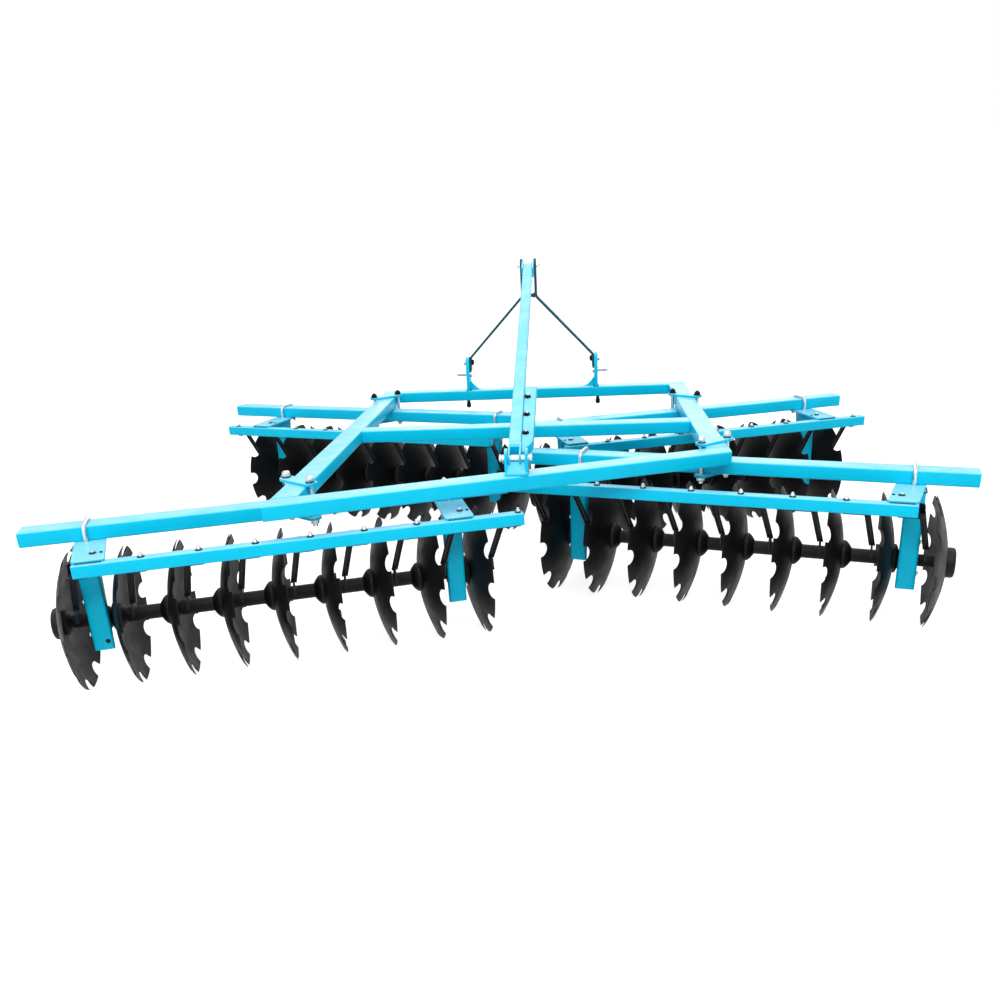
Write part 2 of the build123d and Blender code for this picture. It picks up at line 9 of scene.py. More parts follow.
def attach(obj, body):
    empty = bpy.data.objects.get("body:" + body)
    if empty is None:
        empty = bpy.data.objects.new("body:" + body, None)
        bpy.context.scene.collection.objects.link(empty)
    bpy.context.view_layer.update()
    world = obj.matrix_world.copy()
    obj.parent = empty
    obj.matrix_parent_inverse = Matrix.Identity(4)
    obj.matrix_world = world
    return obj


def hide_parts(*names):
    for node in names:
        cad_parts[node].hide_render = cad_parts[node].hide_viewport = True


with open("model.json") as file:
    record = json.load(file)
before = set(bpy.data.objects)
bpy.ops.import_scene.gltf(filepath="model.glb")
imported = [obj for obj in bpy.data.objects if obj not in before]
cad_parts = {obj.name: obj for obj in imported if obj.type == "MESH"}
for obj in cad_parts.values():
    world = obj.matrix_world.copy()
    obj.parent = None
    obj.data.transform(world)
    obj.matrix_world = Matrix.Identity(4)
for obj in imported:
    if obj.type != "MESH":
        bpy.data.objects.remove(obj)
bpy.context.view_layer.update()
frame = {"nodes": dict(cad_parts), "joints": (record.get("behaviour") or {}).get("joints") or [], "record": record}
print("stage: frame loaded")

# Sizes in millimetres, as the solids have them. X is right, Y forward and Z up.
size = {
    "tubeWidth": 100, "tubeHeight": 60, "tubeCorner": 9, "frameTop": 745, "frameWidth": 1834,
    "beamTop": 675, "beamBottom": 615, "scraperTop": 605, "scraperBottom": 555, "scraperTube": 50,
    "scraperCorner": 6, "scraperBack": 291, "axleZ": 280, "axleBack": 20, "legBack": 116,
    "discPitch": 205, "discThickness": 6, "discCount": 9, "sideX": 867, "rearLeftY": -1234.2,
    "rearRightY": -585.2, "middleY": 43.8, "frontY": 1110.8, "hitchY": 1160.8,
}
rearBeams = {"gangOut": 1064, "gangIn": 859, "scraperOut": 836, "scraperIn": 859}
frontBeams = {"gangOut": 1062, "gangIn": 870, "scraperOut": 935, "scraperIn": 790}
gangs = {
    "rear_left": {"side": -1, "row": 1, **rearBeams},
    "rear_right": {"side": 1, "row": 1, **rearBeams},
    "front_left": {"side": -1, "row": -1, **frontBeams},
    "front_right": {"side": 1, "row": -1, **frontBeams, "gangOut": 946},
}
firstHub = {1: 981, -1: -870}  # the first disc's place along its beam, for each row
bearingBack = (150, 1582)  # from there to the bearings; a gang's joint is midway between them
frameTop, beamBottom = size["frameTop"], size["beamBottom"]
scraperTop, scraperBottom = size["scraperTop"], size["scraperBottom"]
frameUnder = frameTop - size["tubeHeight"]


# Shapes are pairs of a point array and a list of face arrays

def skin(rings):
    # face (i, j) = ring i points j and j + 1, ring i + 1 points j + 1 and j, with j + 1 taken round;
    # the first and the last ring are closed by a face each
    rows, count = rings.shape[:2]
    index = np.arange(rows * count).reshape(rows, count)
    after = np.roll(index, -1, axis=1)
    sides = np.stack([index[:-1], after[:-1], after[1:], index[1:]], axis=-1).reshape(-1, 4)
    return rings.reshape(-1, 3), [sides, index[:1, ::-1], index[-1:]]


def joined(shapes):
    points, faces, start = [], [], 0
    for shapePoints, shapeFaces in shapes:
        points.append(shapePoints)
        faces += [face + start for face in shapeFaces]
        start += len(shapePoints)
    return np.concatenate(points), faces


def moved(shape, matrix):
    placed = np.array(matrix)
    points = shape[0] @ placed[:3, :3].T + placed[:3, 3]
    return points, shape[1]


def at(x, y, z):
    return Matrix.Translation((x, y, z))


def facing(origin, zAxis, xAxis=(1, 0, 0)):
    # a frame at origin whose Z is zAxis and whose X lies as near xAxis as it can, or near Y where
    # Z takes xAxis
    up = Vector(zAxis).normalized()
    side = Vector(xAxis) - Vector(xAxis).dot(up) * up
    if side.length < 0.01:
        side = Vector((0, 1, 0)) - up.y * up
    side.normalize()
    return at(*origin) @ Matrix((side, up.cross(side), up)).transposed().to_4x4()


def arc(radius, turns):
    # radius (cos t, sin t)
    return np.column_stack([radius * np.cos(turns), radius * np.sin(turns)])


def turned(profile, count):
    # point (i, j) = (x_i, r_i cos t_j, r_i sin t_j), t_j = 2 pi j / count
    stations = np.array(profile, float)
    t = np.arange(count) * 2 * pi / count
    x = np.repeat(stations[:, :1], count, axis=1)
    y = stations[:, 1:] * np.cos(t)
    z = stations[:, 1:] * np.sin(t)
    return skin(np.stack([x, y, z], axis=-1))


def rounded(outline, radius, steps=4):
    # each corner becomes a quadratic curve (1 - s)^2 a + 2 s (1 - s) corner + s^2 b, a and b being
    # radius away from the corner along its two sides, but less than half of a side
    corners = np.array(outline, float)
    before = np.roll(corners, 1, axis=0) - corners
    after = np.roll(corners, -1, axis=0) - corners
    beforeLength = np.linalg.norm(before, axis=1, keepdims=True)
    afterLength = np.linalg.norm(after, axis=1, keepdims=True)
    radii = np.broadcast_to(np.reshape(radius, (-1, 1)), (len(corners), 1))
    most = 0.48
    a = corners + before / beforeLength * np.minimum(radii, beforeLength * most)
    b = corners + after / afterLength * np.minimum(radii, afterLength * most)
    s = np.linspace(0, 1, steps + 1).reshape(1, -1, 1)
    curve = (1 - s) ** 2 * a[:, None] + 2 * s * (1 - s) * corners[:, None] + s**2 * b[:, None]
    return curve.reshape(-1, 2)


def lofted(sections):
    # ring k is outline k in X and Y, at its own height
    return skin(np.stack([
        np.column_stack([np.array(outline, float), np.full(len(outline), z)]) for outline, z in sections
    ]))


def slab(outline, low, high):
    return lofted([(outline, low), (outline, high)])


def box(left, right, low, high):
    return [(left, low), (right, low), (right, high), (left, high)]


def rectangle(width, height):
    return box(-width / 2, width / 2, -height / 2, height / 2)


def rod(path, radius, count, ripple=0):
    # ring i = path_i + r_i (n_i cos t + b_i sin t), r_i = radius (1 + ripple cos(2.1 i)); n starts
    # across a direction that no path takes, and is carried along so that the rod doesn't twist
    line = np.array(path, float)
    ahead = np.gradient(line, axis=0)
    ahead /= np.linalg.norm(ahead, axis=1, keepdims=True)
    normal = np.cross(ahead[0], (0.31, 0.17, 0.93))
    normals = []
    for direction in ahead:
        normal = normal - normal.dot(direction) * direction
        normal = normal / np.linalg.norm(normal)
        normals.append(normal)
    normals = np.array(normals)
    binormals = np.cross(ahead, normals)
    t = np.arange(count) * 2 * pi / count
    radii = radius * (1 + ripple * np.cos(np.arange(len(line)) * 2.1))[:, None, None]
    circles = normals[:, None] * np.cos(t)[None, :, None] + binormals[:, None] * np.sin(t)[None, :, None]
    return skin(line[:, None] + radii * circles)


def bentLine(corners, radius, steps):
    # a run of straight lengths with each inner corner rounded, as in rounded()
    points = [np.array(corner, float) for corner in corners]
    line = points[:1]
    for back, corner, ahead in zip(points, points[1:], points[2:]):
        a = corner + (back - corner) / np.linalg.norm(back - corner) * radius
        b = corner + (ahead - corner) / np.linalg.norm(ahead - corner) * radius
        for s in np.linspace(0, 1, steps):
            line.append((1 - s) ** 2 * a + 2 * s * (1 - s) * corner + s**2 * b)
    return line + points[-1:]


def barBetween(start, end, width, height, radius, startCut=0, endCut=0):
    # a rounded bar with chamfered ends; a cut moves its end by that much per mm across
    chamfer = 2
    axis = Vector(end) - Vector(start)
    length = axis.length
    axis.normalize()
    across = Vector((0, 0, 1)).cross(axis)
    across = (across - across.dot(axis) * axis).normalized()
    rings = []
    for place, inset, cut in ((0, chamfer, startCut), (chamfer, 0, startCut),
                              (length - chamfer, 0, endCut), (length, chamfer, endCut)):
        flat = rounded(rectangle(width - 2 * inset, height - 2 * inset), radius)
        rings.append(np.column_stack([flat, place + flat[:, 0] * cut]))
    turn = Matrix((across, axis.cross(across), axis)).transposed().to_4x4()
    return moved(skin(np.stack(rings)), at(*start) @ turn)


upright = Matrix.Rotation(radians(-90), 4, "Y")  # X up, for what is turned about X
drawnAlongX = Matrix(((0, 0, 1), (1, 0, 0), (0, 1, 0))).to_4x4()  # for an outline in Y and Z
drawnAlongY = Matrix(((1, 0, 0), (0, 0, 1), (0, 1, 0))).to_4x4()  # for an outline in X and Z


def mirrored(side):
    return Matrix.Diagonal((side, 1, 1, 1))


def washer(radius, thickness):
    bottom, top = 0.8, 0.6  # what its edges lose
    profile = [(0, 1), (0, radius - bottom), (bottom, radius), (thickness - top, radius),
               (thickness, radius - top), (thickness, 1)]
    return moved(turned(profile, 24), upright)


def headedBolt(head, height, washerRadius=0, washerThickness=3, stub=0, stubRadius=0):
    # along +Z: a washer, a six-sided head with its corners turned off, and a thread's end above it;
    # the settings of the pieces give these sizes in the same order
    shapes, low = [], 0
    if washerRadius:
        low = washerThickness
        shapes.append(washer(washerRadius, low))
    top = low + height
    sixSides = np.arange(6) * 2 * pi / 6
    sections = [(rounded(arc(head * part, sixSides), head * 0.06, 2), z)
                for z, part in ((low, 0.97), (low + 0.6, 1), (low + height * 0.82, 1), (top, 0.84))]
    shapes.append(lofted(sections))
    if stub:
        step, root = 1.5, stubRadius * 0.9
        turns = [(top + number * step, stubRadius if number % 2 else root)
                 for number in range(int(stub / step))]
        shapes.append(moved(turned([(top - 1, root)] + turns, 16), upright))
    return joined(shapes)


def boltAt(sizes, place):
    return moved(headedBolt(*sizes), place)


# Effects that several materials share, each as one node group

def newNode(tree, kind, values=None, operation=None):
    node = tree.nodes.new("ShaderNode" + kind)
    if operation:
        node.operation = operation
    for socket, value in (values or {}).items():
        node.inputs[socket].default_value = value
    return node


def mixColour(tree):
    # inputs 0, 6 and 7 are the share and the two colours, output 2 is the colour
    mix = newNode(tree, "Mix")
    mix.data_type = "RGBA"
    return mix


def linkAll(tree, *links):
    for start, output, end, target in links:
        tree.links.new(start.outputs[output], end.inputs[target])


def newGroup(name, inputs, outputs):
    # an input is a number that its socket starts at, or the kind of its socket; Vector comes first
    group = bpy.data.node_groups.new(name, "ShaderNodeTree")
    for socketName, given in {"Vector": "Vector", **inputs}.items():
        kind = given if isinstance(given, str) else "Float"
        socket = group.interface.new_socket(socketName, in_out="INPUT", socket_type="NodeSocket" + kind)
        if kind == "Float":
            socket.default_value = given
    for socketName, kind in outputs.items():
        group.interface.new_socket(socketName, in_out="OUTPUT", socket_type="NodeSocket" + kind)
    return group, group.nodes.new("NodeGroupInput"), group.nodes.new("NodeGroupOutput")


# Tone: broad soft patches that shift a colour towards a second one
toneGroup, source, result = newGroup(
    "tonePatches", {"Base": "Color", "Shade": "Color", "Scale": 6.0, "Amount": 0.5}, {"Color": "Color"})
noise = newNode(toneGroup, "TexNoise", {"Detail": 5})
ramp = newNode(toneGroup, "MapRange", {"From Min": 0.38, "From Max": 0.68})
strength = newNode(toneGroup, "Math", operation="MULTIPLY")
mix = mixColour(toneGroup)
linkAll(
    toneGroup,
    (source, "Vector", noise, "Vector"), (source, "Scale", noise, "Scale"), (noise, "Fac", ramp, "Value"),
    (ramp, "Result", strength, 0), (source, "Amount", strength, 1), (strength, 0, mix, 0),
    (source, "Base", mix, 6), (source, "Shade", mix, 7), (mix, 2, result, "Color"),
)

# Dust and a painted sheen: a second colour mixed onto faces that look up, broken by fine noise. On the paint it is
# a pale cyan, a painted highlight for the light that falls on the tops; on the other materials it is a grey dust
dustAndSheenGroup, source, result = newGroup(
    "dustAndTopSheen", {"Color": "Color", "DustAndSheen": "Color", "Amount": 0.2, "Scale": 30.0},
    {"Color": "Color", "Mask": "Float"})
geometry = newNode(dustAndSheenGroup, "NewGeometry")
split = newNode(dustAndSheenGroup, "SeparateXYZ")
looksUp = newNode(dustAndSheenGroup, "MapRange", {"From Min": 0.35})
noise = newNode(dustAndSheenGroup, "TexNoise", {"Detail": 8})
ramp = newNode(dustAndSheenGroup, "MapRange", {"From Min": 0.42, "From Max": 0.66, "To Min": 0.7})
both = newNode(dustAndSheenGroup, "Math", operation="MULTIPLY")
strength = newNode(dustAndSheenGroup, "Math", operation="MULTIPLY")
mix = mixColour(dustAndSheenGroup)
linkAll(
    dustAndSheenGroup,
    (geometry, "Normal", split, 0), (split, "Z", looksUp, "Value"), (source, "Vector", noise, "Vector"),
    (source, "Scale", noise, "Scale"), (noise, "Fac", ramp, "Value"), (ramp, "Result", both, 0),
    (looksUp, "Result", both, 1), (both, 0, strength, 0), (source, "Amount", strength, 1),
    (strength, 0, mix, 0), (source, "Color", mix, 6), (source, "DustAndSheen", mix, 7),
    (mix, 2, result, "Color"), (strength, 0, result, "Mask"),
)

# Chips: small sharp-edged spots where a coat has come off, gathered in worn areas
chipGroup, source, result = newGroup(
    "paintChips", {"Color": "Color", "Bare": "Color", "Scale": 60.0, "Level": 0.7},
    {"Color": "Color", "Mask": "Float"})
fine = newNode(chipGroup, "TexNoise", {"Detail": 6, "Roughness": 0.7})
broad = newNode(chipGroup, "TexNoise", {"Scale": 3})
both = newNode(chipGroup, "Math", {1: 0.35}, "MULTIPLY_ADD")
above = newNode(chipGroup, "Math", operation="SUBTRACT")
sharpen = newNode(chipGroup, "Math", {1: 30}, "MULTIPLY")
sharpen.use_clamp = True
mix = mixColour(chipGroup)
linkAll(
    chipGroup,
    (source, "Vector", fine, "Vector"), (source, "Scale", fine, "Scale"),
    (source, "Vector", broad, "Vector"), (broad, "Fac", both, 0), (fine, "Fac", both, 2),
    (both, 0, above, 0), (source, "Level", above, 1), (above, 0, sharpen, 0), (sharpen, 0, mix, 0),
    (source, "Color", mix, 6), (source, "Bare", mix, 7), (mix, 2, result, "Color"),
    (sharpen, 0, result, "Mask"),
)

# Grain: a bumped normal from fine noise, for orange peel, castings and plating
grainGroup, source, result = newGroup(
    "surfaceGrain", {"Scale": 300.0, "Strength": 0.2, "Depth": 0.0004}, {"Normal": "Vector"})
noise = newNode(grainGroup, "TexNoise", {"Detail": 3})
bump = newNode(grainGroup, "Bump")
linkAll(
    grainGroup,
    (source, "Vector", noise, "Vector"), (source, "Scale", noise, "Scale"),
    (noise, "Fac", bump, "Height"), (source, "Strength", bump, "Strength"),
    (source, "Depth", bump, "Distance"), (bump, "Normal", result, "Normal"),
)


def makeMaterial(name, look):
    material = bpy.data.materials.new(name)
    material.use_nodes = True
    tree = material.node_tree
    shader = tree.nodes["Principled BSDF"]
    coordinates = newNode(tree, "TexCoord")

    def effect(group, keys):
        # keys give the setting that each socket takes
        node = newNode(tree, "Group")
        node.node_tree = group
        for socket, key in keys.items():
            node.inputs[socket].default_value = look[key]
        linkAll(tree, (coordinates, "Object", node, "Vector"))
        return node

    tone = effect(toneGroup, {"Base": "base", "Shade": "shade", "Scale": "toneScale", "Amount": "tone"})
    chips = effect(chipGroup, {"Bare": "bare", "Scale": "chipScale", "Level": "chipLevel"})
    # faces that look up take a grey dust, or on the paint a pale cyan painted highlight
    dustAndSheen = effect(dustAndSheenGroup, {"DustAndSheen": "dustAndSheenColour", "Amount": "dustAndSheen", "Scale": "dustAndSheenScale"})
    grain = effect(grainGroup, {"Scale": "grainScale", "Strength": "grain", "Depth": "grainDepth"})
    rough = newNode(tree, "TexNoise", {"Scale": look["roughScale"], "Detail": 4})
    low, high = look["roughness"]
    spread = newNode(tree, "MapRange", {"From Min": 0.3, "From Max": 0.7, "To Min": low, "To Max": high})
    linkAll(
        tree,
        (tone, "Color", chips, "Color"), (chips, "Color", dustAndSheen, "Color"),
        (dustAndSheen, "Color", shader, "Base Color"), (coordinates, "Object", rough, "Vector"),
        (rough, "Fac", spread, "Value"), (spread, "Result", shader, "Roughness"),
        (grain, "Normal", shader, "Normal"),
    )
    shader.inputs["Metallic"].default_value = look["metallic"]
    shader.inputs["Specular IOR Level"].default_value = look["specular"]
    return material


dustTone = (0.45, 0.47, 0.46, 1)
# the pale cyan mixed onto the paint's upward faces is a painted highlight for the light on the tops, not dust;
# dark_paint takes it too, more thinly
paintLook = {
    "base": (0.0, 0.58, 0.85, 1), "shade": (0.0, 0.47, 0.72, 1), "toneScale": 3.5, "tone": 0.45,
    "bare": (0.03, 0.16, 0.2, 1), "chipScale": 95, "chipLevel": 0.93, "dustAndSheenColour": (0.58, 0.92, 0.98, 1),
    "dustAndSheen": 0.55, "dustAndSheenScale": 9, "grainScale": 420, "grain": 0.12, "grainDepth": 0.0005,
    "roughScale": 14, "roughness": (0.26, 0.4), "metallic": 0, "specular": 0.16,
}
looks = {
    "paint": paintLook,
    "dark_paint": {**paintLook, "base": (0.01, 0.09, 0.12, 1), "shade": (0.02, 0.06, 0.08, 1),
                   "bare": (0.2, 0.2, 0.2, 1), "dustAndSheen": 0.12, "roughness": (0.3, 0.46)},
    "black_paint": {**paintLook, "base": (0.005, 0.006, 0.01, 1), "shade": (0.002, 0.003, 0.005, 1),
                    "bare": (0.1, 0.1, 0.11, 1), "dustAndSheenColour": dustTone, "dustAndSheen": 0.04,
                    "roughness": (0.42, 0.55), "specular": 0.22},
    "disc_steel": {**paintLook, "base": (0.004, 0.004, 0.005, 1), "shade": (0.012, 0.012, 0.013, 1),
                   "tone": 0.6, "toneScale": 9, "bare": (0.08, 0.08, 0.08, 1), "chipScale": 70,
                   "chipLevel": 0.9, "dustAndSheenColour": dustTone, "dustAndSheen": 0.05, "grainScale": 260,
                   "grain": 0.16, "roughness": (0.42, 0.58), "specular": 0.14},
    "cast": {**paintLook, "base": (0.006, 0.006, 0.008, 1), "shade": (0.003, 0.003, 0.004, 1),
             "bare": (0.12, 0.11, 0.1, 1), "dustAndSheenColour": dustTone, "dustAndSheen": 0.07, "grainScale": 330,
             "grain": 0.4, "grainDepth": 0.0009, "roughness": (0.45, 0.6), "specular": 0.18},
    "zinc": {**paintLook, "base": (0.72, 0.74, 0.75, 1), "shade": (0.5, 0.52, 0.53, 1), "toneScale": 40,
             "tone": 0.3, "bare": (0.3, 0.3, 0.3, 1), "dustAndSheenColour": dustTone, "dustAndSheen": 0.1,
             "grainScale": 700, "grain": 0.05, "grainDepth": 0.0001, "roughScale": 60,
             "roughness": (0.22, 0.42), "metallic": 1},
}
materials = {name: makeMaterial(name, look) for name, look in looks.items()}
slotOf = {part["node"]: part["material_slot"] for part in frame["record"]["subparts"]}
for nodeName, node in frame["nodes"].items():
    node.data.materials.clear()
    node.data.materials.append(materials[slotOf[nodeName]])
print("stage: materials")


def newObject(name, data):
    added = bpy.data.objects.new(name, data)
    bpy.context.scene.collection.objects.link(added)
    return added


def addPiece(name, shapes, slot, body, node=None, bevel=0, sharp=38):
    points, faces = joined(shapes)
    mesh = bpy.data.meshes.new(name)
    mesh.from_pydata((points / 1000).tolist(), [], [row for face in faces for row in face.tolist()])
    whole = bmesh.new()
    whole.from_mesh(mesh)
    bmesh.ops.recalc_face_normals(whole, faces=whole.faces)
    whole.to_mesh(mesh)
    whole.free()
    mesh.polygons.foreach_set("use_smooth", [True] * len(mesh.polygons))
    mesh.set_sharp_from_angle(angle=radians(sharp))
    mesh.materials.append(materials[slot])
    piece = newObject(name, mesh)
    if bevel:
        edge = piece.modifiers.new("edges", "BEVEL")
        edge.width = bevel / 1000
        edge.segments = 2
        edge.limit_method = "ANGLE"
        edge.angle_limit = radians(32)
    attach(piece, body)
    if node:
        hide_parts(node)


def replacement(node, shapes, body="frame", bevel=0, sharp=38):
    addPiece("look_" + node, shapes, slotOf[node], body, node, bevel, sharp)


def extra(name, shapes, slot, bevel=0):
    addPiece(name, shapes, slot, "frame", None, bevel)


def gangFrame(name):
    # the gang's frame from its joint: X out along the beam, Y forward across it, Z up, in mm
    gang = gangs[name]
    joint = next(joint for joint in frame["joints"] if joint["child"] == "gang_" + name)
    out = Vector(joint["axis"])
    forward = Vector((-gang["side"] * out.y, gang["side"] * out.x, 0))
    middle = firstHub[gang["row"]] - gang["row"] * sum(bearingBack) / 2
    origin = Vector(joint["pos_m"]) * 1000 - out * middle + forward * size["axleBack"]
    origin.z = 0
    return at(*origin) @ Matrix((out, forward, (0, 0, 1))).transposed().to_4x4()


frames = {name: gangFrame(name) for name in gangs}

# Frame tubes with rolled corners
tube = (size["tubeWidth"], size["tubeHeight"], size["tubeCorner"])
middleZ = frameTop - size["tubeHeight"] / 2
halfWidth = size["frameWidth"] / 2
halfTube = size["tubeWidth"] / 2
skew = (size["rearRightY"] - size["rearLeftY"]) / size["frameWidth"]
rearHalf = halfTube * hypot(1, skew)
middleLineY = size["middleY"] + halfTube
for tubeName, end, leftY, rightY, cut in (
    ("front", halfWidth, size["hitchY"], size["hitchY"], 0),
    ("middle", halfWidth - size["tubeWidth"], middleLineY, middleLineY, 0),
    ("rear", halfWidth, size["rearLeftY"] + rearHalf, size["rearRightY"] + rearHalf, skew),
):
    shape = barBetween((-end, leftY, middleZ), (end, rightY, middleZ), *tube, cut, cut)
    replacement("frame_" + tubeName + "_tube", [shape])
rearFront = size["rearLeftY"] + 2 * rearHalf
for side, sideName in ((-1, "left"), (1, "right")):
    x = side * size["sideX"]
    back = rearFront + skew * (x + halfWidth)
    shape = barBetween((x, back, middleZ), (x, size["frontY"], middleZ), *tube, -skew)
    replacement("frame_" + sideName + "_side_tube", [shape])
print("stage: frame tubes")

# Discs: a shallow dish with ten round-bottomed notches and a ground edge on its rounded side
disc = {"radius": 280, "seat": 75, "depth": 60, "notches": 10, "notchRadius": 36, "notchCentre": 274,
        "rimSteps": 7, "notchSteps": 9, "rows": 7, "ground": 16, "groundDrop": 3.4}
discRadius, seat, notchRadius, notchCentre = (
    disc[key] for key in ("radius", "seat", "notchRadius", "notchCentre"))
# a notch takes 2 mouth of the rim's turn, and its own circle meets the rim at lean from its centre
mouth = np.arccos((discRadius**2 + notchCentre**2 - notchRadius**2) / (2 * discRadius * notchCentre))
pitch = 2 * pi / disc["notches"]
# the rim is radius (cos t, sin t) along a lobe, and centre + notchRadius (cos a, sin a) round a notch
lobe = arc(discRadius, np.linspace(-pitch / 2 + mouth, pitch / 2 - mouth, disc["rimSteps"]))
lean = atan2(discRadius * np.sin(mouth), discRadius * np.cos(mouth) - notchCentre)
notch = arc(notchRadius, np.linspace(-lean, -2 * pi + lean, disc["notchSteps"] + 2)[1:-1])
notch[:, 0] += notchCentre


def turnedFlat(points, angle):
    return points @ np.array([[cos(angle), sin(angle)], [-sin(angle), cos(angle)]])


rim = np.concatenate([
    np.concatenate([turnedFlat(lobe, k * pitch - pi / 2), turnedFlat(notch, (k + 0.5) * pitch - pi / 2)])
    for k in range(disc["notches"])
])
rimRadius = np.hypot(rim[:, 0], rim[:, 1])
rimAngle = np.arctan2(rim[:, 1], rim[:, 0])
# ring i has radius seat + (rim - ground - seat) s_i, and the rim is the last ring; the dish is
# x = -depth (r^2 - seat^2) / (radius^2 - seat^2)
share = np.linspace(0, 1, disc["rows"])[:, None]
inner = seat + (rimRadius - seat - disc["ground"])[None] * share
across = np.concatenate([inner, rimRadius[None]])
dish = -disc["depth"] * (across**2 - seat**2) / (discRadius**2 - seat**2)


def dishRings(x):
    return np.stack([x, across * np.cos(rimAngle), across * np.sin(rimAngle)], axis=-1)


roundedSide = dish.copy()
roundedSide[-1] -= disc["groundDrop"]
hollowSide = dish - size["discThickness"]
discShape = skin(np.concatenate([dishRings(roundedSide), dishRings(hollowSide)[::-1]]))

# Spools, turned about the axle; those at the bearings are slimmer
spool = {"shaft": 30, "journal": 26, "dishFlare": 50, "dishRun": 24, "backFlare": 62, "backRun": 30,
         "journalRun": 16, "lip": 8, "atBearings": (0, 7)}


def spoolShape(shaft, backRun):
    # between the two flanges' lips, a rounded chamfer: r = shaft + (flare - shaft) (1 - s^1.6)
    length = size["discPitch"] - size["discThickness"]
    dishFlare, backFlare, lip = spool["dishFlare"], spool["backFlare"], spool["lip"]
    s = np.linspace(0, 1, 9)
    front = [(-lip - part * spool["dishRun"], shaft + (dishFlare - shaft) * (1 - part**1.6))
             for part in s]
    back = [(-length + lip + part * backRun, shaft + (backFlare - shaft) * (1 - part**1.6))
            for part in s]
    return turned([(0, dishFlare)] + front + back[::-1] + [(-length, backFlare)], 36)


plainSpool = spoolShape(spool["shaft"], spool["backRun"])
journalSpool = spoolShape(spool["journal"], spool["journalRun"])

# The axle's ends: a cap with a low nut at the first disc, a washer and a nut at the last
endLook = {
    "cap": [(0, 60), (2, 64), (24, 64), (31, 61), (34.5, 55), (35, 50), (33, 43), (31, 41), (31, 1)],
    "capFace": 31, "capNut": (27, 3.4),
    "washer": [(0, 44), (-2, 48), (-10, 48), (-12, 46), (-12, 1)], "washerFace": -12,
    "nut": (30, 20, 0, 0, 4, 17),
}
firstEnd = joined([turned(endLook["cap"], 48),
                   boltAt(endLook["capNut"], facing((endLook["capFace"], 0, 0), (1, 0, 0)))])
lastEnd = joined([turned(endLook["washer"], 36),
                  boltAt(endLook["nut"], facing((endLook["washerFace"], 0, 0), (-1, 0, 0)))])

for name, gang in gangs.items():
    row = gang["row"]
    hubs = [firstHub[row] - row * size["discPitch"] * number for number in range(size["discCount"])]
    axle = frames[name] @ at(0, -size["axleBack"], size["axleZ"])
    heading = Matrix.Diagonal((row, row, 1, 1))
    fronts = [axle @ at(u, 0, 0) @ heading for u in hubs]
    backs = [axle @ at(u - row * size["discThickness"], 0, 0) @ heading for u in hubs]
    discs = [moved(discShape, front) for front in fronts]
    replacement("disc_blades_" + name, discs, "gang_" + name, sharp=30)
    shapes = [moved(firstEnd, fronts[0])]
    for number, back in enumerate(backs[:-1]):
        shapes.append(moved(journalSpool if number in spool["atBearings"] else plainSpool, back))
    replacement("gang_axle_" + name, shapes + [moved(lastEnd, backs[-1])], "gang_" + name)
print("stage: gangs")

# Beams
beamZ = (size["beamTop"] + beamBottom) / 2
scraperZ = (scraperTop + scraperBottom) / 2
squareTube = (size["scraperTube"], size["scraperTube"], size["scraperCorner"])
for name, gang in gangs.items():
    for kind, back, z, section in (
        ("gang", 0, beamZ, tube), ("scraper", size["scraperBack"], scraperZ, squareTube),
    ):
        ends = (-gang[kind + "In"], gang[kind + "Out"])
        start, end = (frames[name] @ Vector((u, -back, z)) for u in ends)
        replacement(kind + "_beam_" + name, [barBetween(start, end, *section)])
print("stage: beams")

# Hangers: a plate under the gang beam that carries the scraper beam, and a folded channel leg
hanger = {
    "legs": {1: (831, -601), -1: (-720, 712)}, "plateWidth": 116, "plateFront": 80, "plateBack": -297,
    "plateCorner": 14, "outerShift": {1: -15, -1: 0}, "outerSkew": {1: 0.128, -1: 0}, "legHalf": 37.5,
    "legWall": 8, "legBottom": 180, "topFront": -36, "bottomFront": -102, "fold": 12, "cutEdge": 1,
    "weldFront": -48, "weldInset": 12, "boltShift": -15, "boltY": -213, "boltWasher": (13.5, 3),
    "bolt": (9, 8), "smallBolt": (6, 4), "smallBoltAway": 30, "flangeBolt": (9, 6, 11, 1.5),
    "flangeBoltZ": (535, 385, 250), "footBolt": (7, 5, 9, 1.5), "footBoltIn": 19, "footBoltZ": 217,
}
weldLook = {"radius": 3.6, "step": 7, "sides": 8, "ripple": 0.16}


def plateMiddle(row, u, y):
    # the middle of a hanger's plate at y: the outer rear plates stand a little inward and slant
    if u < 0:
        return u
    return u + hanger["outerShift"][row] + hanger["outerSkew"][row] * y


def flangeFront(z):
    # the front edge of a leg's flanges: y runs evenly from bottomFront to topFront
    share = (z - hanger["legBottom"]) / (scraperTop - hanger["legBottom"])
    return hanger["bottomFront"] + share * (hanger["topFront"] - hanger["bottomFront"])


def legShape(u):
    # ring z is a U, half wide and wall thick, whose arms reach forward to flangeFront(z)
    half, wall, back = hanger["legHalf"], hanger["legWall"], -size["legBack"]
    fold, edge = hanger["fold"], hanger["cutEdge"]
    sections = []
    for z in (hanger["legBottom"], scraperTop):
        front = flangeFront(z)
        outline = [(-half, front), (-half, back), (half, back), (half, front), (half - wall, front),
                   (half - wall, back + wall), (wall - half, back + wall), (wall - half, front)]
        flat = rounded(outline, [edge, fold, fold, edge, edge, fold - wall, fold - wall, edge])
        sections.append((flat + (u, 0), z))
    return lofted(sections)


def weld(corners, radius=weldLook["radius"]):
    # a bead along a line, its radius swelling and shrinking from ripple to ripple
    line = []
    for start, end in zip(corners, corners[1:]):
        start, end = np.array(start, float), np.array(end, float)
        steps = max(2, int(np.linalg.norm(end - start) / weldLook["step"]))
        line += list(start + (end - start) * np.linspace(0, 1, steps, endpoint=False)[:, None])
    line.append(np.array(corners[-1], float))
    return rod(line, radius, weldLook["sides"], weldLook["ripple"])


